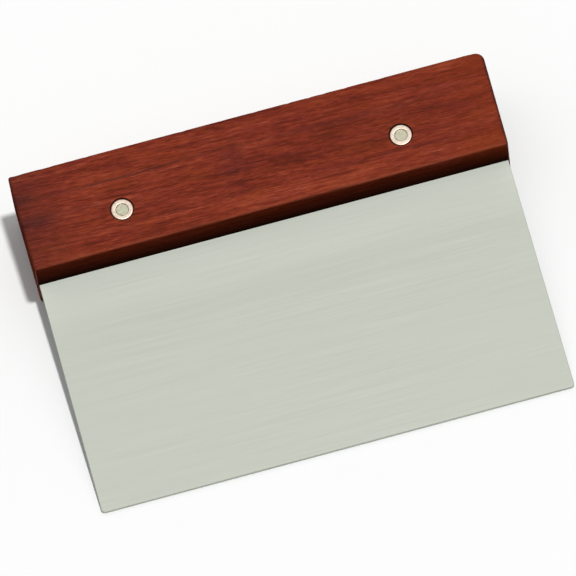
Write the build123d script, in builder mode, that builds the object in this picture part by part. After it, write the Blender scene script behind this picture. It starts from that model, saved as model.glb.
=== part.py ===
from build123d import *
import math
import os

# Bench scraper: a flat stainless blade whose tang is held between two wooden
# handle scales by two cutlery rivets. Each rivet is a tubular half let into the
# front scale and a solid half pushed into it from the back.
#
# The part lies on a bench as the real one does. It is heavier on the blade side
# of the handle, so it tips until the cutting edge touches the bench too:
# it rests on the lower back edge of the handle and on the cutting edge.
#   +Z up, bench at Z = 0
#   X  along the cutting edge
#   +Y from the cutting edge towards the handle
#   origin at the bottom centre of the bounding box

os.makedirs("parts", exist_ok=True)

# ---------------------------------------------------------------- dimensions, mm
# blade
blade_width = 152.4  # 6 in, along the cutting edge
blade_height = 112.0  # cutting edge to the top of the tang
blade_thickness = 1.2
blade_corner_radius = 1.2  # at the two ends of the cutting edge
blade_edge_break = 0.2  # all sharp edges of the sheet are broken

# handle scales, flush with the tang along the top and at the lower corners
handle_height = 32.9
scale_thickness = 13.0
end_overhang = 0.6  # how far each end of the wood stands out past the blade, at the bottom
end_flare = 0.3  # how much further it stands out at the top
left_corner_radius = 0.8  # top left corner, seen from the front
right_corner_radius = 3.0  # top right corner, sanded rounder
lower_corner_radius = 0.8
scale_arris_radius = 0.6  # rounding around the outer face of each scale

# rivets
rivet_x = (-45.2, 45.2)  # left, right
rivet_drop = 20.4  # from the top of the handle
head_radius = 3.55
head_thickness = 1.2
head_recess = 0.3  # head below the outer face of the wood
head_edge_radius = 0.35
sleeve_radius = 2.5  # outside of the tubular half
pin_radius = 2.0  # shank of the solid half, pushed into the tubular half
sleeve_length = 18.0  # under its head
pin_end_recess = 0.2  # end of the pin below the face of the tubular half's head
wood_bore_radius = 2.6
tang_bore_radius = 2.65
counterbore_radius = 3.75
counterbore_depth = head_recess + head_thickness

# ---------------------------------------------------------------- how it rests
# In the blade's own section, u runs up the blade from the cutting edge and s runs
# out of its back face towards the front. The bench touches the broken back corner
# of the cutting edge and the rounded lower back edge of the rear scale.
edge_u, edge_s = blade_edge_break, blade_edge_break
heel_u = blade_height - handle_height + scale_arris_radius
heel_s = -(scale_thickness - scale_arris_radius)
span = math.hypot(heel_u - edge_u, heel_s - edge_s)
lean = math.atan2(edge_s - heel_s, heel_u - edge_u) + math.asin(
    (scale_arris_radius - blade_edge_break) / span
)
cos_l, sin_l = math.cos(lean), math.sin(lean)

back_y = (
    (blade_height - scale_arris_radius) * cos_l
    + (scale_thickness - scale_arris_radius) * sin_l
    + scale_arris_radius
)
front_y = (
    blade_edge_break * cos_l
    - (blade_thickness - blade_edge_break) * sin_l
    - blade_edge_break
)
origin = Vector(
    0, -(front_y + back_y) / 2, blade_edge_break * (1 - sin_l - cos_l)
)

# Planes. Local x is +X. On the planes that face forwards, local y runs up the blade.
tang_back = Plane(origin=origin, x_dir=(1, 0, 0), z_dir=(0, -sin_l, cos_l))
tang_front = tang_back.offset(blade_thickness)
front_face = tang_front.offset(scale_thickness)
rear_face = Plane(
    origin=tang_back.offset(-scale_thickness).origin,
    x_dir=(-1, 0, 0),
    z_dir=-tang_back.z_dir,
)
outward_front = Axis(tang_back.origin, tang_back.z_dir)
up_blade = Axis(tang_back.origin, tang_back.y_dir)

handle_bottom = blade_height - handle_height
rivet_v = blade_height - rivet_drop

# Outline of a scale: a board whose ends flare a little towards the top.
lower_half = blade_width / 2 + end_overhang
upper_half = lower_half + end_flare
scale_outline = (
    (-lower_half, handle_bottom),
    (lower_half, handle_bottom),
    (upper_half, blade_height),
    (-upper_half, blade_height),
)

# ---------------------------------------------------------------- blade
with BuildPart(tang_back) as blade:
    with BuildSketch(tang_back):
        Rectangle(blade_width, blade_height, align=(Align.CENTER, Align.MIN))
        sheet = vertices()
        fillet(sheet.group_by(Axis.Y)[0], blade_corner_radius)
        fillet(sheet.group_by(Axis.Y)[-1].sort_by(Axis.X)[0], left_corner_radius)
        fillet(sheet.group_by(Axis.Y)[-1].sort_by(Axis.X)[-1], right_corner_radius)
    extrude(amount=blade_thickness)
    outline = faces().sort_by(outward_front)
    fillet(
        outline[0].outer_wire().edges() + outline[-1].outer_wire().edges(),
        blade_edge_break,
    )
    with BuildSketch(tang_front):
        with Locations(*[(x, rivet_v) for x in rivet_x]):
            Circle(tang_bore_radius)
    extrude(amount=-blade_thickness, mode=Mode.SUBTRACT)
blade.part.label = "blade"

# ---------------------------------------------------------------- front scale
with BuildPart() as front_scale:
    with BuildSketch(tang_front):
        with BuildLine():
            Polyline(*scale_outline, close=True)
        make_face()
        board = vertices()
        fillet(board.group_by(Axis.Y)[0], lower_corner_radius)
        fillet(board.group_by(Axis.Y)[-1].sort_by(Axis.X)[0], left_corner_radius)
        fillet(board.group_by(Axis.Y)[-1].sort_by(Axis.X)[-1], right_corner_radius)
    extrude(amount=scale_thickness)
    fillet(
        faces().sort_by(outward_front)[-1].outer_wire().edges(),
        scale_arris_radius,
    )
    with BuildSketch(front_face):
        with Locations(*[(x, rivet_v) for x in rivet_x]):
            Circle(counterbore_radius)
    extrude(amount=-counterbore_depth, mode=Mode.SUBTRACT)
    with BuildSketch(front_face):
        with Locations(*[(x, rivet_v) for x in rivet_x]):
            Circle(wood_bore_radius)
    extrude(amount=-scale_thickness, mode=Mode.SUBTRACT)
front_scale.part.label = "front_scale"

# ---------------------------------------------------------------- rear scale
# On the rear face local x runs towards -X, so the corners change sides.
with BuildPart() as rear_scale:
    with BuildSketch(tang_back):
        with BuildLine():
            Polyline(*scale_outline, close=True)
        make_face()
        board = vertices()
        fillet(board.group_by(Axis.Y)[0], lower_corner_radius)
        fillet(board.group_by(Axis.Y)[-1].sort_by(Axis.X)[0], left_corner_radius)
        fillet(board.group_by(Axis.Y)[-1].sort_by(Axis.X)[-1], right_corner_radius)
    extrude(amount=-scale_thickness)
    fillet(
        faces().sort_by(outward_front)[0].outer_wire().edges(),
        scale_arris_radius,
    )
    with BuildSketch(rear_face):
        with Locations(*[(-x, rivet_v) for x in rivet_x]):
            Circle(counterbore_radius)
    extrude(amount=-counterbore_depth, mode=Mode.SUBTRACT)
    with BuildSketch(rear_face):
        with Locations(*[(-x, rivet_v) for x in rivet_x]):
            Circle(wood_bore_radius)
    extrude(amount=-scale_thickness, mode=Mode.SUBTRACT)
rear_scale.part.label = "rear_scale"

# ---------------------------------------------------------------- rivets
# Each half is turned about the rivet's axis. In the section planes below, local x
# is the radius and local y runs out of the front face, from the tang's back face.
left_axis_point = tang_back.from_local_coords(Vector(rivet_x[0], rivet_v, 0))
right_axis_point = tang_back.from_local_coords(Vector(rivet_x[1], rivet_v, 0))
section_normal = Vector(0, -cos_l, -sin_l)
left_section = Plane(origin=left_axis_point, x_dir=(1, 0, 0), z_dir=section_normal)
right_section = Plane(origin=right_axis_point, x_dir=(1, 0, 0), z_dir=section_normal)
left_axis = Axis(left_axis_point, tang_back.z_dir)
right_axis = Axis(right_axis_point, tang_back.z_dir)

front_top = blade_thickness + scale_thickness - head_recess
front_seat = front_top - head_thickness
rear_top = -(scale_thickness - head_recess)
rear_seat = rear_top + head_thickness

# tubular half: head in the front scale, open down its middle
with BuildPart() as left_rivet_sleeve:
    with BuildSketch(left_section):
        with BuildLine():
            Polyline(
                (pin_radius, front_top - 0.15),
                (pin_radius + 0.15, front_top),
                (head_radius, front_top),
                (head_radius, front_seat),
                (sleeve_radius, front_seat),
                (sleeve_radius, front_seat - sleeve_length),
                (pin_radius, front_seat - sleeve_length),
                close=True,
            )
        make_face()
        fillet(
            vertices().group_by(Axis.X)[-1].sort_by(Axis.Y)[-1], head_edge_radius
        )
    revolve(axis=left_axis)
left_rivet_sleeve.part.label = "left_rivet_sleeve"

with BuildPart() as right_rivet_sleeve:
    with BuildSketch(right_section):
        with BuildLine():
            Polyline(
                (pin_radius, front_top - 0.15),
                (pin_radius + 0.15, front_top),
                (head_radius, front_top),
                (head_radius, front_seat),
                (sleeve_radius, front_seat),
                (sleeve_radius, front_seat - sleeve_length),
                (pin_radius, front_seat - sleeve_length),
                close=True,
            )
        make_face()
        fillet(
            vertices().group_by(Axis.X)[-1].sort_by(Axis.Y)[-1], head_edge_radius
        )
    revolve(axis=right_axis)
right_rivet_sleeve.part.label = "right_rivet_sleeve"

# solid half: head in the rear scale, pin pushed through the sleeve
pin_top = front_top - pin_end_recess

with BuildPart() as left_rivet_pin:
    with BuildSketch(left_section):
        with BuildLine():
            Polyline(
                (0, rear_top),
                (head_radius, rear_top),
                (head_radius, rear_seat),
                (pin_radius, rear_seat),
                (pin_radius, pin_top - 0.2),
                (pin_radius - 0.2, pin_top),
                (0, pin_top),
                close=True,
            )
        make_face()
        fillet(vertices().group_by(Axis.X)[-1].sort_by(Axis.Y)[0], head_edge_radius)
    revolve(axis=left_axis)
left_rivet_pin.part.label = "left_rivet_pin"

with BuildPart() as right_rivet_pin:
    with BuildSketch(right_section):
        with BuildLine():
            Polyline(
                (0, rear_top),
                (head_radius, rear_top),
                (head_radius, rear_seat),
                (pin_radius, rear_seat),
                (pin_radius, pin_top - 0.2),
                (pin_radius - 0.2, pin_top),
                (0, pin_top),
                close=True,
            )
        make_face()
        fillet(vertices().group_by(Axis.X)[-1].sort_by(Axis.Y)[0], head_edge_radius)
    revolve(axis=right_axis)
right_rivet_pin.part.label = "right_rivet_pin"

# ---------------------------------------------------------------- files
export_step(blade.part, "parts/blade.step")
export_step(front_scale.part, "parts/front_scale.step")
export_step(rear_scale.part, "parts/rear_scale.step")
export_step(left_rivet_sleeve.part, "parts/left_rivet_sleeve.step")
export_step(left_rivet_pin.part, "parts/left_rivet_pin.step")
export_step(right_rivet_sleeve.part, "parts/right_rivet_sleeve.step")
export_step(right_rivet_pin.part, "parts/right_rivet_pin.step")

whole = Compound(
    children=[
        blade.part,
        front_scale.part,
        rear_scale.part,
        left_rivet_sleeve.part,
        left_rivet_pin.part,
        right_rivet_sleeve.part,
        right_rivet_pin.part,
    ]
)
box = whole.bounding_box()
print("lean %.3f deg" % math.degrees(lean))
print("box low  %.4f %.4f %.4f" % (box.min.X, box.min.Y, box.min.Z))
print("box high %.4f %.4f %.4f" % (box.max.X, box.max.Y, box.max.Z))
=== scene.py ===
import math

import bmesh
import bpy
import numpy as np
from mathutils import Matrix, Vector


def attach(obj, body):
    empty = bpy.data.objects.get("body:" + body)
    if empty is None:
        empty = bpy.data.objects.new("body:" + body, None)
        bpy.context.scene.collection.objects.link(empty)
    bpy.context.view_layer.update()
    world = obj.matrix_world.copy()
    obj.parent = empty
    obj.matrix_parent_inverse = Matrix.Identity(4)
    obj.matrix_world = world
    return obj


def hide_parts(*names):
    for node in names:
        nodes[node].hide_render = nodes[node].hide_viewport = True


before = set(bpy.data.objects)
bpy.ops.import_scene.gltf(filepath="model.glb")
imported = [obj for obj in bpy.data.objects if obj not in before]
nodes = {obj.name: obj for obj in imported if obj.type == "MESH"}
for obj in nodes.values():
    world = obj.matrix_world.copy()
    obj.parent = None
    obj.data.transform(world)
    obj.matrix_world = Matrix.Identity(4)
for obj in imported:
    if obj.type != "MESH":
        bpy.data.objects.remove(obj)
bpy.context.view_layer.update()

scene = bpy.context.scene
scene.view_settings.view_transform = "Standard"
scene.view_settings.look = "None"

# ------------------------------------------------------------------ the part's own sizes, mm
# Local directions: x along the cutting edge, u up the blade from the cutting edge,
# h out of the blade's back face towards the front.
BLADE_T = 1.2
BLADE_H = 112.0
HANDLE_H = 32.9
SCALE_T = 13.0
HALF = 76.8  # half the length of the wood at the bottom
FLARE = 0.3  # how much longer each half is at the top
ARRIS = 0.6
CORNERS = (0.8, 0.8, 3.0, 0.8)  # lower left, lower right, upper right, upper left
RIVET_X = 45.2
RIVET_U = BLADE_H - 20.4
HEAD_R, HEAD_T, HEAD_IN, HEAD_EDGE = 3.55, 1.2, 0.3, 0.35
SLEEVE_R, PIN_R, SLEEVE_L = 2.5, 2.0, 18.0
COUNTER_R, BORE_R = 3.75, 2.6
LEAN = math.radians(9.29066)
COS, SIN = math.cos(LEAN), math.sin(LEAN)
# Where the blade's back lower edge would be if it were sharp, in metres.
BASE = Vector((0, -0.05618824, -0.00002966))


def place(x, u, h):
    """A local point in millimetres, as a point of the part in metres."""
    return (
        BASE.x + x / 1000,
        BASE.y + (u * COS - h * SIN) / 1000,
        BASE.z + (u * SIN + h * COS) / 1000,
    )


ACROSS = Vector((1, 0, 0))
UP = Vector((0, COS, SIN))
OUT = Vector((0, -SIN, COS))

# ------------------------------------------------------------------ camera
cam_data = bpy.data.cameras.new("camera")
cam_data.sensor_width = 36
cam_data.lens = 687.5
cam_data.clip_start, cam_data.clip_end = 0.05, 50
camera = bpy.data.objects.new("camera", cam_data)
scene.collection.objects.link(camera)
right = Vector((0.96520316, -0.24212659, -0.09878045)).normalized()
forward = Vector((0.04134967, 0.51430577, -0.85660947)).normalized()
up = right.cross(forward).normalized()
right = forward.cross(up)
turn = Matrix((right, up, -forward)).transposed().to_4x4()
camera.matrix_world = Matrix.Translation((-0.14375063, -1.77091551, 2.95899984)) @ turn
scene.camera = camera

# ------------------------------------------------------------------ light
world = bpy.data.worlds.new("studio")
scene.world = world
world.use_nodes = True
wt = world.node_tree
background = wt.nodes["Background"]
coords = wt.nodes.new("ShaderNodeTexCoord")
bend = wt.nodes.new("ShaderNodeVectorMath")
bend.operation = "DOT_PRODUCT"
bend.inputs[1].default_value = (0.0, 0.42, 0.91)
wt.links.new(coords.outputs["Generated"], bend.inputs[0])
fade = wt.nodes.new("ShaderNodeMapRange")
fade.interpolation_type = "SMOOTHSTEP"
fade.inputs["From Min"].default_value = -0.25
fade.inputs["From Max"].default_value = 0.95
fade.inputs["To Min"].default_value = 0.07
fade.inputs["To Max"].default_value = 0.50
wt.links.new(bend.outputs["Value"], fade.inputs["Value"])
wt.links.new(fade.outputs["Result"], background.inputs["Strength"])
background.inputs["Color"].default_value = (1, 1, 1, 1)

key_data = bpy.data.lights.new("key", "SUN")
key_data.energy = 2.15
key_data.angle = math.radians(4)
key = bpy.data.objects.new("key", key_data)
scene.collection.objects.link(key)
towards_key = OUT - math.tan(math.radians(2)) * UP + math.tan(math.radians(9)) * ACROSS
key.rotation_mode = "QUATERNION"
key.rotation_quaternion = towards_key.normalized().to_track_quat("Z", "Y")


# ------------------------------------------------------------------ node helpers
class Graph:
    """A material's node tree, with short ways to add and join nodes."""

    def __init__(self, name):
        self.material = bpy.data.materials.new(name)
        self.material.use_nodes = True
        self.tree = self.material.node_tree
        self.tree.nodes.clear()
        self.out = self.add("ShaderNodeOutputMaterial")
        self.shader = self.add("ShaderNodeBsdfPrincipled")
        self.join(self.shader.outputs["BSDF"], self.out.inputs["Surface"])

    def add(self, kind, **settings):
        node = self.tree.nodes.new(kind)
        for k, v in settings.items():
            setattr(node, k, v)
        return node

    def join(self, a, b):
        self.tree.links.new(a, b)
        return b

    def feed(self, socket, value):
        if isinstance(value, bpy.types.NodeSocket):
            self.join(value, socket)
        else:
            socket.default_value = value

    def math(self, op, a, b=0.0, clamp=False):
        n = self.add("ShaderNodeMath", operation=op, use_clamp=clamp)
        self.feed(n.inputs[0], a)
        self.feed(n.inputs[1], b)
        return n.outputs[0]

    def local(self, turn=0.0):
        """Object coordinates in millimetres along (x, u, h), turned by some degrees in the blade's plane."""
        coords = self.add("ShaderNodeTexCoord").outputs["Object"]
        level = self.add("ShaderNodeMapping", vector_type="POINT")
        self.join(coords, level.inputs["Vector"])
        level.inputs["Rotation"].default_value = (-LEAN, 0, math.radians(turn))
        level.inputs["Scale"].default_value = (1000, 1000, 1000)
        return level.outputs["Vector"]

    def stretch(self, vector, scale, shift=(0, 0, 0)):
        size = self.add("ShaderNodeMapping", vector_type="POINT")
        self.join(vector, size.inputs["Vector"])
        size.inputs["Location"].default_value = shift
        size.inputs["Scale"].default_value = scale
        return size.outputs["Vector"]

    def noise(self, vector, detail=2.0, rough=0.5, distort=0.0, scale=1.0):
        n = self.add("ShaderNodeTexNoise")
        self.join(vector, n.inputs["Vector"])
        n.inputs["Scale"].default_value = scale
        n.inputs["Detail"].default_value = detail
        n.inputs["Roughness"].default_value = rough
        n.inputs["Distortion"].default_value = distort
        return n.outputs["Fac"]

    def ramp(self, value, stops):
        n = self.add("ShaderNodeValToRGB")
        while len(n.color_ramp.elements) < len(stops):
            n.color_ramp.elements.new(0.5)
        for e, (at, colour) in zip(n.color_ramp.elements, stops):
            e.position = at
            e.color = (*colour, 1)
        self.feed(n.inputs["Fac"], value)
        return n.outputs["Color"]

    def grey(self, value, low, high, to_low=0.0, to_high=1.0, smooth=False):
        n = self.add("ShaderNodeMapRange")
        n.interpolation_type = "SMOOTHSTEP" if smooth else "LINEAR"
        n.clamp = True
        self.feed(n.inputs["Value"], value)
        n.inputs["From Min"].default_value = low
        n.inputs["From Max"].default_value = high
        n.inputs["To Min"].default_value = to_low
        n.inputs["To Max"].default_value = to_high
        return n.outputs["Result"]

    def mix(self, how_much, a, b, mode="MIX"):
        n = self.add("ShaderNodeMix", data_type="RGBA", blend_type=mode)
        n.clamp_factor = True
        self.feed(n.inputs[0], how_much)
        self.feed(n.inputs[6], a)
        self.feed(n.inputs[7], b)
        return n.outputs[2]

    def bump(self, height, distance, strength=1.0, normal=None):
        n = self.add("ShaderNodeBump")
        n.inputs["Strength"].default_value = strength
        n.inputs["Distance"].default_value = distance
        self.join(height, n.inputs["Height"])
        if normal is not None:
            self.join(normal, n.inputs["Normal"])
        return n.outputs["Normal"]

    def stored(self, name):
        return self.add("ShaderNodeAttribute", attribute_name=name).outputs["Fac"]


# ------------------------------------------------------------------ materials
def wood(name, seed, turn, bare=False):
    """Lacquered red-brown hardwood, its grain along the handle. The figure, pores, the painted highlight along the
    lower arris, and the end-grain stain with painted shade that the mesh carries come in as attributes. The bare wood
    has no lacquer on it."""
    g = Graph(name)
    at = g.local(turn)
    broad = g.noise(g.stretch(at, (0.012, 0.16, 0.16), (seed * 7.3, seed * 3.1, 0)), 3.0, 0.5, 0.4)
    streak = g.noise(g.stretch(at, (0.065, 0.85, 0.85), (seed * 2.9, 0, seed)), 4.0, 0.6, 0.35)
    fibre = g.noise(g.stretch(at, (0.28, 2.4, 2.4), (seed, 5, 2)), 3.0, 0.65, 0.2)
    vessel = g.noise(g.stretch(at, (0.30, 4.0, 4.0), (3, seed, 9)), 1.0, 0.5, 0.0)
    hue = g.noise(g.stretch(at, (0.055, 0.24, 0.24), (seed * 5, 2, 8)), 3.0, 0.6, 0.5)
    body = g.math("MULTIPLY", broad, 0.26)
    body = g.math("ADD", body, g.math("MULTIPLY", streak, 0.34))
    body = g.math("ADD", body, g.math("MULTIPLY", fibre, 0.40))
    colour = g.ramp(body, [
        (0.35, (0.082, 0.0086, 0.0032)),
        (0.44, (0.140, 0.0158, 0.0056)),
        (0.50, (0.200, 0.0250, 0.0088)),
        (0.56, (0.256, 0.0375, 0.0150)),
        (0.65, (0.345, 0.0680, 0.0300)),
    ])
    # patches that lean to orange and others that lean to plum
    colour = g.mix(g.grey(hue, 0.52, 0.68, 0.0, 0.55, True), colour, g.mix(0.5, colour, (0.235, 0.0400, 0.0045, 1)))
    colour = g.mix(g.grey(hue, 0.48, 0.34, 0.0, 0.55, True), colour, g.mix(0.5, colour, (0.150, 0.0160, 0.0150, 1)))
    dark_figure, warm_figure = g.stored("dark_figure"), g.stored("warm_figure")
    colour = g.mix(dark_figure, colour, (0.066, 0.0120, 0.0100, 1))
    colour = g.mix(warm_figure, colour, g.mix(0.75, colour, (0.205, 0.0265, 0.0040, 1)))
    # short pale flecks where the fibres catch the light
    fleck = g.noise(g.stretch(at, (0.34, 3.4, 3.4), (seed, 4, 6)), 2.0, 0.6, 0.2)
    colour = g.mix(g.grey(fleck, 0.58, 0.76, 0.0, 0.42, True), colour, (0.370, 0.0950, 0.0520, 1))
    pores = g.math("MAXIMUM", g.grey(vessel, 0.60, 0.74, 0.0, 0.58, True), g.math("MULTIPLY", g.stored("pore"), 0.45))
    colour = g.mix(pores, colour, (0.050, 0.0080, 0.0040, 1))
    # painted highlight: paler along the lower arris, where it catches the light
    arris_highlight = g.math("MULTIPLY", g.stored("lower_arris_highlight"), g.grey(streak, 0.35, 0.65, 0.35, 1.0))
    colour = g.mix(g.math("MULTIPLY", arris_highlight, 0.45), colour, (0.255, 0.0660, 0.0320, 1))
    # painted shade: darker on the underside near the blade, on the top arris and more at the right end, with real stain
    # in the end grain; darker still on the bare faces
    colour = g.mix(g.stored("stain_and_painted_shade"), colour, (0.012, 0.0045, 0.0030, 1) if bare else (0.030, 0.0070, 0.0040, 1))
    g.join(colour, g.shader.inputs["Base Color"])
    rough = g.grey(fibre, 0.3, 0.7, 0.80, 0.70) if bare else g.grey(fibre, 0.3, 0.7, 0.60, 0.50)
    rough = g.math("ADD", rough, g.math("MULTIPLY", arris_highlight, 0.12))
    rough = g.math("ADD", rough, g.math("MULTIPLY", pores, 0.22), clamp=True)
    g.join(rough, g.shader.inputs["Roughness"])
    g.shader.inputs["Specular IOR Level"].default_value = 0.0 if bare else 0.07
    height = g.math("SUBTRACT", g.math("MULTIPLY", fibre, 0.35), pores)
    g.join(g.bump(height, 0.00004, 0.5), g.shader.inputs["Normal"])
    return g.material


def steel():
    """Rolled stainless sheet with a fine satin grain along the cutting edge."""
    g = Graph("blade_steel_satin")
    at = g.local()
    hair = g.noise(g.stretch(at, (0.030, 7.0, 7.0)), 3.0, 0.6)
    band = g.noise(g.stretch(at, (0.016, 0.9, 0.9), (4, 2, 1)), 3.0, 0.55)
    cloud = g.noise(g.stretch(at, (0.050, 0.09, 0.09), (1, 7, 3)), 4.0, 0.6)
    tone = g.math("ADD", g.math("MULTIPLY", cloud, 0.50), g.math("ADD", g.math("MULTIPLY", band, 0.12), g.math("MULTIPLY", hair, 0.38)))
    colour = g.ramp(tone, [(0.30, (0.502, 0.522, 0.466)), (0.50, (0.523, 0.543, 0.486)), (0.70, (0.544, 0.565, 0.506))])
    # painted light: the steel is brighter towards the handle, set against the photo, to offset the shade the handle
    # casts
    split = g.add("ShaderNodeSeparateXYZ")
    g.join(at, split.inputs[0])
    near = g.grey(split.outputs["Y"], 4.0, 24.0, 0.0, 0.50)
    colour = g.mix(near, colour, (0.720, 0.750, 0.685, 1))
    g.join(colour, g.shader.inputs["Base Color"])
    g.shader.inputs["Metallic"].default_value = 1.0
    rough = g.math("ADD", g.grey(hair, 0.3, 0.7, 0.64, 0.72), g.grey(cloud, 0.3, 0.7, -0.008, 0.008))
    g.join(rough, g.shader.inputs["Roughness"])
    g.join(g.bump(hair, 0.000003, 0.5), g.shader.inputs["Normal"])
    return g.material


def rivet(name, low, high, rough_low, rough_high):
    g = Graph(name)
    at = g.local()
    cloud = g.noise(g.stretch(at, (1.1, 1.1, 1.1)), 3.0, 0.6)
    fine = g.noise(g.stretch(at, (9.0, 9.0, 9.0)), 2.0, 0.5)
    tone = g.math("ADD", g.math("MULTIPLY", cloud, 0.65), g.math("MULTIPLY", fine, 0.35))
    speck = g.noise(g.stretch(at, (2.6, 2.6, 2.6), (3, 1, 7)), 3.0, 0.65)
    colour = g.ramp(tone, [(0.36, low), (0.64, high)])
    colour = g.mix(g.grey(speck, 0.52, 0.66, 0.0, 0.30, True), colour, (0.33, 0.31, 0.20, 1))
    g.join(colour, g.shader.inputs["Base Color"])
    g.shader.inputs["Metallic"].default_value = 1.0
    g.join(g.grey(tone, 0.35, 0.65, rough_low, rough_high), g.shader.inputs["Roughness"])
    g.join(g.bump(fine, 0.00001, 0.5), g.shader.inputs["Normal"])
    return g.material


def paint(obj, material):
    obj.data.materials.clear()
    obj.data.materials.append(material)


steel_material = steel()
wood_front = wood("handle_wood_front", 1.0, 1.6)
wood_rear = wood("handle_wood_rear", 4.0, -0.9)
bare_front = wood("handle_wood_front_bare", 1.0, 1.6, True)
bare_rear = wood("handle_wood_rear_bare", 4.0, -0.9, True)
ring_metal = rivet("rivet_metal_bright", (0.54, 0.44, 0.355), (0.69, 0.565, 0.475), 0.38, 0.48)
pin_metal = rivet("rivet_metal_dull", (0.36, 0.355, 0.26), (0.61, 0.60, 0.47), 0.56, 0.70)


# ------------------------------------------------------------------ noise for the meshes
def lattice(i, j, k, seed):
    n = (i * 73856093) ^ (j * 19349663) ^ (k * 83492791) ^ (seed * 40503077)
    n = ((n ^ (n >> 13)) * 1274126177) & 0xFFFFFFFF
    n = ((n ^ (n >> 15)) * 668265263) & 0xFFFFFFFF
    return ((n ^ (n >> 16)) & 0xFFFF) / 65535.0


def soft_noise(p, seed):
    """Value noise, 0 to 1, at each row of p."""
    base = np.floor(p).astype(np.int64)
    f = p - base
    f = f * f * (3 - 2 * f)
    total = 0
    for di in (0, 1):
        for dj in (0, 1):
            for dk in (0, 1):
                w = (
                    (f[:, 0] if di else 1 - f[:, 0])
                    * (f[:, 1] if dj else 1 - f[:, 1])
                    * (f[:, 2] if dk else 1 - f[:, 2])
                )
                total = total + w * lattice(base[:, 0] + di, base[:, 1] + dj, base[:, 2] + dk, seed)
    return total


def layered(p, seed, octaves=3, gain=0.5):
    total, size, top = 0, 1.0, 0
    for o in range(octaves):
        total = total + size * soft_noise(p * 2**o + 17.3 * o, seed + o)
        top += size
        size *= gain
    return total / top


def smooth(x, low, high):
    t = np.clip((x - low) / (high - low), 0, 1)
    return t * t * (3 - 2 * t)


# ------------------------------------------------------------------ handle scales
NX, NU, ARC = 276, 92, 6  # divisions along, across, and round each corner


def ring(inset):
    """The outline of a scale moved in by inset, as points from the middle of the lower left
    corner's arc, along the bottom first."""
    raw = [(-HALF, BLADE_H - HANDLE_H), (HALF, BLADE_H - HANDLE_H), (HALF + FLARE, BLADE_H), (-HALF - FLARE, BLADE_H)]
    raw = [np.array(p, float) for p in raw]
    edges = []
    for a in range(4):
        p, q = raw[a], raw[(a + 1) % 4]
        d = (q - p) / np.linalg.norm(q - p)
        edges.append((p + inset * np.array((-d[1], d[0])), d))
    corners = []
    for a in range(4):
        (p, d), (q, e) = edges[a - 1], edges[a]
        t = np.linalg.solve(np.array((d, -e)).T, q - p)[0]
        corners.append(p + t * d)
    arcs = []
    for a in range(4):
        v, d, e = corners[a], edges[a - 1][1], edges[a][1]
        r = max(CORNERS[a] - inset, 0.12)
        half = math.acos(float(np.clip(np.dot(-d, e), -1, 1))) / 2
        middle = v + (e - d) / np.linalg.norm(e - d) * (r / math.sin(half))
        start = v - d * (r / math.tan(half)) - middle
        a0 = math.atan2(start[1], start[0])
        sweep = math.pi - 2 * half
        arcs.append([middle + r * np.array((math.cos(a0 + sweep * k / ARC), math.sin(a0 + sweep * k / ARC))) for k in range(ARC + 1)])
    loop, marks = [], []
    for a in range(4):
        here, there = arcs[a], arcs[(a + 1) % 4]
        n = NX if a % 2 == 0 else NU
        marks.append(len(loop))
        loop += here[ARC // 2 :]
        p, q = here[-1], there[0]
        loop += [p + (q - p) * k / n for k in range(1, n)]
        loop += there[: ARC // 2]
    return np.array(loop), marks


def face_grid(loop, marks):
    """A grid of points over the outline: even inside, and meeting the outline's own points."""
    total = len(loop)
    side = [np.array([loop[(marks[a] + k) % total] for k in range((marks[(a + 1) % 4] - marks[a]) % total + 1)]) for a in range(4)]
    bottom, right_side, top, left_side = side[0], side[1], side[2][::-1], side[3][::-1]
    n, m = len(bottom), len(right_side)

    def along(line):
        d = np.r_[0, np.cumsum(np.linalg.norm(np.diff(line, axis=0), axis=1))]
        return d / d[-1]

    sx = (along(bottom) + along(top)) / 2
    su = (along(left_side) + along(right_side)) / 2
    index_x, index_u = np.arange(n), np.arange(m)
    reach = np.minimum.outer(np.minimum(index_u, m - 1 - index_u), np.minimum(index_x, n - 1 - index_x))
    w = smooth(reach.astype(float), 0, 12)[..., None]
    X, U = np.meshgrid(sx, su)
    X, U = X[..., None], U[..., None]
    c00, c10, c01, c11 = bottom[0], bottom[-1], top[0], top[-1]
    coons = (
        (1 - U) * bottom[None] + U * top[None] + (1 - X) * left_side[:, None] + X * right_side[:, None]
        - (1 - X) * (1 - U) * c00 - X * (1 - U) * c10 - (1 - X) * U * c01 - X * U * c11
    )
    ex, eu = np.linspace(0, 1, n), np.linspace(0, 1, m)
    X, U = np.meshgrid(ex, eu)
    X, U = X[..., None], U[..., None]
    even = (1 - X) * (1 - U) * c00 + X * (1 - U) * c10 + (1 - X) * U * c01 + X * U * c11
    return (1 - w) * coons + w * even


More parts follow.
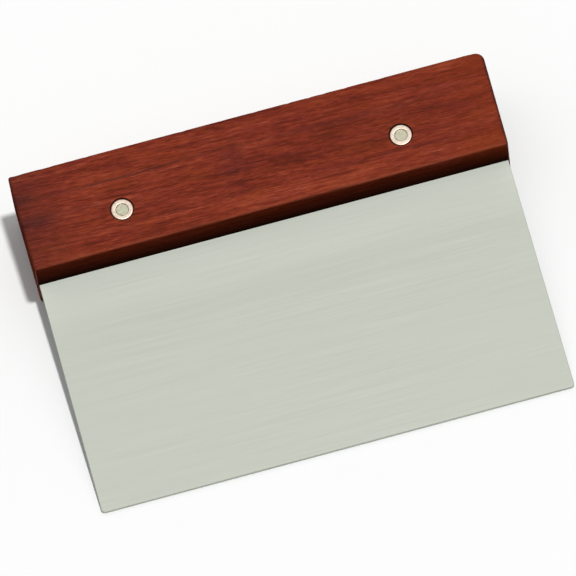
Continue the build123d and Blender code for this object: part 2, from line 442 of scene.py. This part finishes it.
def scale_shape(front):
    """Points (x, u, h), faces and which points may be worked: one closed handle scale."""
    if front:
        base, out = BLADE_T, 1
    else:
        base, out = 0.0, -1
    levels = [(0.14, 0.0), (0.05, 0.04), (0.0, 0.12)]
    levels += [(0.0, 0.12 + (SCALE_T - ARRIS - 0.12) * k / 20) for k in range(1, 21)]
    levels += [(ARRIS * (1 - math.cos(t)), SCALE_T - ARRIS + ARRIS * math.sin(t)) for t in (math.pi / 2 * k / 6 for k in range(1, 7))]
    points, faces, loops = [], [], []
    for inset, rise in levels:
        loop, marks = ring(inset)
        loops.append(range(len(points), len(points) + len(loop)))
        points += [(x, u, base + out * rise) for x, u in loop]
    count = len(loops[0])
    for low, high in zip(loops, loops[1:]):
        for k in range(count):
            faces.append((low[k], low[(k + 1) % count], high[(k + 1) % count], high[k]))
    faces.append(tuple(reversed(loops[0])))
    # outer face, on the last loop's own points
    loop, marks = ring(ARRIS)
    grid = face_grid(loop, marks)
    m, n = grid.shape[:2]
    number = np.full((m, n), -1)
    last = loops[-1]
    number[0, :] = [last[marks[0] + k] for k in range(n)]
    number[:, -1] = [last[marks[1] + k] for k in range(m)]
    number[-1, ::-1] = [last[marks[2] + k] for k in range(n)]
    number[::-1, 0] = [last[(marks[3] + k) % count] for k in range(m)]
    for j in range(1, m - 1):
        for i in range(1, n - 1):
            number[j, i] = len(points)
            points.append((grid[j, i, 0], grid[j, i, 1], base + out * SCALE_T))
    for j in range(m - 1):
        for i in range(n - 1):
            faces.append((number[j, i], number[j, i + 1], number[j + 1, i + 1], number[j + 1, i]))
    if not front:
        faces = [tuple(reversed(f)) for f in faces]
    return np.array(points, float), faces, len(loops[0]) * 3


def lathe(profile, steps, x, u, shape=None):
    """A closed solid turned about the line through (x, u): profile is (radius, h) from axis to
    axis, or a closed ring of points off the axis."""
    points, faces, rows = [], [], []
    for r, h in profile:
        if r < 1e-6:
            rows.append([len(points)])
            points.append((x, u, h))
        else:
            rows.append(list(range(len(points), len(points) + steps)))
            for k in range(steps):
                a = 2 * math.pi * k / steps
                points.append((x + r * math.cos(a), u + r * math.sin(a), h))
    closed = profile[0][0] > 1e-6
    pairs = list(zip(rows, rows[1:])) + ([(rows[-1], rows[0])] if closed else [])
    for a, b in pairs:
        for k in range(steps):
            n = (k + 1) % steps
            if len(a) == 1:
                faces.append((a[0], b[k], b[n]))
            elif len(b) == 1:
                faces.append((a[k], b[0], a[n]))
            else:
                faces.append((a[k], b[k], b[n], a[n]))
    points = np.array(points, float)
    if shape is not None:
        points = shape(points)
    return points, faces


def build(name, points, faces, sharp=38):
    mesh = bpy.data.meshes.new(name)
    mesh.from_pydata([place(*p) for p in points], [], faces)
    mesh.validate()
    b = bmesh.new()
    b.from_mesh(mesh)
    bmesh.ops.recalc_face_normals(b, faces=b.faces)
    b.to_mesh(mesh)
    b.free()
    mesh.polygons.foreach_set("use_smooth", [True] * len(mesh.polygons))
    mesh.set_sharp_from_angle(angle=math.radians(sharp))
    obj = bpy.data.objects.new(name, mesh)
    scene.collection.objects.link(obj)
    return obj


def cutter(name, front):
    """The counterbores and bores of both rivets, with a softened lip at the face."""
    out = 1 if front else -1
    face = BLADE_T + SCALE_T if front else -SCALE_T
    lip = [(COUNTER_R + 0.20, 1.0), (COUNTER_R + 0.20, 0.0), (COUNTER_R + 0.11, -0.03), (COUNTER_R + 0.04, -0.09), (COUNTER_R, -0.20)]
    profile = [(0.0, 1.0)] + lip + [(COUNTER_R, -(HEAD_IN + HEAD_T)), (BORE_R, -(HEAD_IN + HEAD_T)), (BORE_R, -SCALE_T - 1.0), (0.0, -SCALE_T - 1.0)]
    points, faces = [], []
    for x in (-RIVET_X, RIVET_X):
        p, f = lathe([(r, face + out * h) for r, h in profile], 72, x, RIVET_U)
        faces += [tuple(v + len(points) for v in face_) for face_ in f]
        points += list(map(tuple, p))
    return build(name, np.array(points), faces)


def figure(p, front):
    """Where the wood is darker and where it is warmer, 0 to 1, at local points."""
    x, u, h = p.T
    if not front:
        x, h = -x, h + 31
    down = (BLADE_H - u) / HANDLE_H  # 0 at the top, 1 at the bottom
    far = (x + HALF) / (2 * HALF)  # 0 at the left end, 1 at the right end
    wobble = layered(np.stack((x * 0.05, h * 0.15, u * 0.0), 1), 11) - 0.5
    rag = layered(np.stack((x * 0.10, u * 0.9, h * 0.9), 1), 23, 4)
    # a long dark line under the top edge, strongest over the left part
    line = np.exp(-(((down - 0.290 - 0.06 * wobble) / 0.013) ** 2)) * (0.25 + 0.60 * smooth(far, 0.10, 0.17) * (1 - smooth(far, 0.28, 0.40)))
    line2 = np.exp(-(((down - 0.325 - 0.04 * wobble) / 0.016) ** 2)) * smooth(far, 0.50, 0.60) * 0.40
    line3 = np.exp(-(((down - 0.785 + 0.05 * wobble) / 0.014) ** 2)) * smooth(far, 0.08, 0.2) * 0.30
    # a darker left end, with two smudges running in from it
    end = (1 - smooth(far, 0.0, 0.10 + 0.10 * rag)) * 0.40
    smudge = np.exp(-(((down - 0.52) / 0.07) ** 2)) * (1 - smooth(far, 0.03, 0.10)) * 0.55
    smudge += np.exp(-(((down - 0.26) / 0.05) ** 2)) * (1 - smooth(far, 0.0, 0.06)) * 0.55
    knot = np.exp(-(((far - 0.455) / 0.030) ** 2)) * np.exp(-(((down - 0.46) / 0.20) ** 2)) * 0.40
    dark = (line + line2 + line3) * smooth(rag, 0.25, 0.55) + end + smudge + knot * smooth(rag, 0.2, 0.6)
    dark = np.clip(dark, 0, 0.8)
    warm = smooth(far, 0.86, 1.0) * 0.35 + smooth(far, 0.35, 0.75) * 0.12
    warm += smooth(down, 0.86, 1.0) * 0.25 + np.exp(-(((down - 0.14) / 0.07) ** 2)) * smooth(far, 0.1, 0.5) * 0.25
    warm = np.clip(warm * smooth(layered(np.stack((x * 0.06, u * 0.5, h * 0.5), 1), 41, 4), 0.30, 0.70) * 1.6, 0, 0.8)
    return dark, warm


def scale_piece(name, front, node, material, bare):
    points, faces, fixed = scale_shape(front)
    obj = build(name, points, faces)
    mesh = obj.data
    local = points.copy()
    seed = 3 if front else 8
    # pores: short shallow grooves along the grain, and a slight unevenness left by sanding
    tilt = math.radians(1.6 if front else -0.9)
    across = local[:, 1] + math.tan(tilt) * local[:, 0]
    groove = layered(np.stack((local[:, 0] * 0.09, across * 1.5, local[:, 2] * 1.5), 1), seed, 2, 0.6)
    pore = smooth(groove, 0.60, 0.80)
    hand = layered(np.stack((local[:, 0] * 0.06, local[:, 1] * 0.10, local[:, 2] * 0.10), 1), seed + 50, 3)
    sink = 0.030 * pore + 0.050 * hand
    # how near a point is to an arris, 0 to 1
    side = np.minimum.reduce((local[:, 1] - (BLADE_H - HANDLE_H), BLADE_H - local[:, 1], HALF + FLARE * (local[:, 1] - BLADE_H + HANDLE_H) / HANDLE_H - np.abs(local[:, 0])))
    face = SCALE_T - np.abs(local[:, 2] - (BLADE_T if front else 0.0))
    arris = (1 - smooth(np.hypot(side, face), 0.35, 1.25))
    knocks = layered(np.stack((local[:, 0] * 0.35, local[:, 1] * 0.35, local[:, 2] * 0.35), 1), seed + 90, 3)
    sink = sink + 0.10 * arris * smooth(knocks, 0.55, 0.8)
    sink[:fixed] = 0
    normals = np.zeros(len(mesh.vertices) * 3)
    mesh.vertices.foreach_get("normal", normals)
    co = np.zeros(len(mesh.vertices) * 3)
    mesh.vertices.foreach_get("co", co)
    co = co.reshape(-1, 3) - normals.reshape(-1, 3) * (sink[:, None] / 1000)
    mesh.vertices.foreach_set("co", co.ravel())
    dark, warm = figure(local, front)
    # the lower arris is paler, a painted highlight where it catches the light; the ends are darker, partly stain in the
    # end grain and partly painted shade, the right end more; the top arris has a little painted shade, and the
    # underside has painted shade, deepest where it meets the blade
    low_arris = arris * (1 - smooth(local[:, 1], BLADE_H - HANDLE_H + 1.0, BLADE_H - HANDLE_H + 3.0))
    at_end = 1 - smooth(HALF + FLARE * (local[:, 1] - BLADE_H + HANDLE_H) / HANDLE_H - np.abs(local[:, 0]), 0.25, 1.1)
    at_end *= np.where(local[:, 0] > 0, 0.68, 0.45)
    at_top = 1 - smooth(BLADE_H - local[:, 1], 0.15, 0.8)
    under = 1 - smooth(local[:, 1] - (BLADE_H - HANDLE_H), 0.05, 0.35)
    rise = np.abs(local[:, 2] - (BLADE_T if front else 0.0))
    patchy = layered(np.stack((local[:, 0] * 0.08, local[:, 1] * 0.3, local[:, 2] * 0.5), 1), seed + 70, 3)
    stain_and_painted_shade = np.maximum(at_end, 0.12 * at_top) * (0.6 + 0.8 * patchy)
    # painted shade under the handle, deepest next to the blade
    painted_shade_under_handle = 1.03 - 0.048 * rise if front else 0.80 - 0.045 * rise
    stain_and_painted_shade = np.maximum(stain_and_painted_shade, under * (painted_shade_under_handle + 0.10 * (patchy - 0.5)))
    stain_and_painted_shade = np.clip(stain_and_painted_shade, 0, 0.985)
    for key_name, values in (("pore", pore), ("lower_arris_highlight", low_arris), ("stain_and_painted_shade", stain_and_painted_shade), ("dark_figure", dark), ("warm_figure", warm)):
        a = mesh.attributes.new(key_name, "FLOAT", "POINT")
        a.data.foreach_set("value", values.astype(np.float32))
    mesh.update()
    tool = cutter(name + "_cutter", front)
    cut = obj.modifiers.new("bores", "BOOLEAN")
    cut.operation, cut.solver, cut.object = "DIFFERENCE", "EXACT", tool
    done = bpy.data.meshes.new_from_object(obj.evaluated_get(bpy.context.evaluated_depsgraph_get()))
    obj.modifiers.clear()
    obj.data = done
    done.name = name
    bpy.data.objects.remove(tool)
    tidy = bmesh.new()
    tidy.from_mesh(done)
    bmesh.ops.remove_doubles(tidy, verts=tidy.verts, dist=2e-6)
    bmesh.ops.dissolve_degenerate(tidy, dist=1e-6, edges=tidy.edges)
    tidy.to_mesh(done)
    tidy.free()
    done.polygons.foreach_set("use_smooth", [True] * len(done.polygons))
    done.set_sharp_from_angle(angle=math.radians(38))
    paint(obj, material)
    # the underside, towards the blade, and the end grain have no lacquer, and their painted shade is darker
    done.materials.append(bare)
    facing = np.zeros(len(done.polygons) * 3)
    done.polygons.foreach_get("normal", facing)
    down = facing.reshape(-1, 3) @ np.array(UP) < -0.80
    middle = np.zeros(len(done.polygons) * 3)
    done.polygons.foreach_get("center", middle)
    level = (middle.reshape(-1, 3) - np.array(BASE)) @ np.array(UP) * 1000 < BLADE_H - HANDLE_H + 0.5
    end_grain = np.abs(facing.reshape(-1, 3) @ np.array(ACROSS)) > 0.90
    end_grain &= np.abs(middle.reshape(-1, 3)[:, 0]) * 1000 > HALF - 1.0
    done.polygons.foreach_set("material_index", ((down & level) | end_grain).astype(np.int32))
    done.update()
    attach(obj, "root")
    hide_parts(node)
    return obj


front_wood = scale_piece("front_scale_wood", True, "front_scale", wood_front, bare_front)
rear_wood = scale_piece("rear_scale_wood", False, "rear_scale", wood_rear, bare_rear)

# ------------------------------------------------------------------ rivets
front_top = BLADE_T + SCALE_T - HEAD_IN
front_seat = front_top - HEAD_T
rear_top = -(SCALE_T - HEAD_IN)
rear_seat = rear_top + HEAD_T
pin_top = front_top - 0.2


def curve(cx, cy, r, start, stop, steps):
    return [(cx + r * math.cos(math.radians(start + (stop - start) * k / steps)), cy + r * math.sin(math.radians(start + (stop - start) * k / steps))) for k in range(steps + 1)]


sleeve_profile = [(PIN_R, front_seat - SLEEVE_L), (PIN_R, front_top - 0.9), (PIN_R, front_top - 0.18)]
sleeve_profile += curve(PIN_R + 0.15, front_top - 0.15, 0.15, 180, 90, 4)[1:]
sleeve_profile += [(PIN_R + 0.15 + (HEAD_R - HEAD_EDGE - PIN_R - 0.15) * k / 5, front_top) for k in range(1, 5)]
sleeve_profile += curve(HEAD_R - HEAD_EDGE, front_top - HEAD_EDGE, HEAD_EDGE, 90, 0, 7)
sleeve_profile += [(HEAD_R, front_seat), (SLEEVE_R, front_seat), (SLEEVE_R, front_seat - SLEEVE_L)]

pin_profile = [(0.0, pin_top)] + [(1.60 * k / 9, pin_top) for k in range(1, 10)]
pin_profile += curve(PIN_R - 0.2, pin_top - 0.2, 0.2, 90, 0, 4)[1:]
pin_profile += [(PIN_R, pin_top - 2.0), (PIN_R, rear_seat), (HEAD_R, rear_seat)]
pin_profile += curve(HEAD_R - HEAD_EDGE, rear_top + HEAD_EDGE, HEAD_EDGE, 0, -90, 7)
pin_profile += [((HEAD_R - HEAD_EDGE) * k / 10, rear_top) for k in range(9, 0, -1)] + [(0.0, rear_top)]


def peened(seed):
    """Small hammer marks on the end of the pin and on the solid head."""

    def work(p):
        mark = layered(p * 1.5, seed, 3) * 0.07
        end = np.where(p[:, 2] > pin_top - 1e-4, 1.0, 0.0)
        p[:, 2] -= mark * end
        head = np.where(p[:, 2] < rear_top + 1e-4, 1.0, 0.0)
        p[:, 2] += 0.4 * mark * head
        return p

    return work


for side, x in (("left", -RIVET_X), ("right", RIVET_X)):
    seed = 5 if side == "left" else 9
    sleeve = build(side + "_rivet_ring", *lathe(sleeve_profile, 96, x, RIVET_U))
    pin = build(side + "_rivet_shank", *lathe(pin_profile, 96, x, RIVET_U, peened(seed)))
    for obj, node, material in ((sleeve, side + "_rivet_sleeve", ring_metal), (pin, side + "_rivet_pin", pin_metal)):
        paint(obj, material)
        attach(obj, "root")
        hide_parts(node)

# ------------------------------------------------------------------ blade
paint(nodes["blade"], steel_material)

# ------------------------------------------------------------------ floor
floor_mesh = bpy.data.meshes.new("floor")
b = bmesh.new()
bmesh.ops.create_grid(b, x_segments=8, y_segments=8, size=8.0)
b.to_mesh(floor_mesh)
b.free()
floor = bpy.data.objects.new("floor", floor_mesh)
scene.collection.objects.link(floor)
fg = Graph("floor_paper")
fg.shader.inputs["Base Color"].default_value = (0.93, 0.935, 0.93, 1)
fg.shader.inputs["Roughness"].default_value = 0.9
fg.shader.inputs["Specular IOR Level"].default_value = 0.1
paint(floor, fg.material)
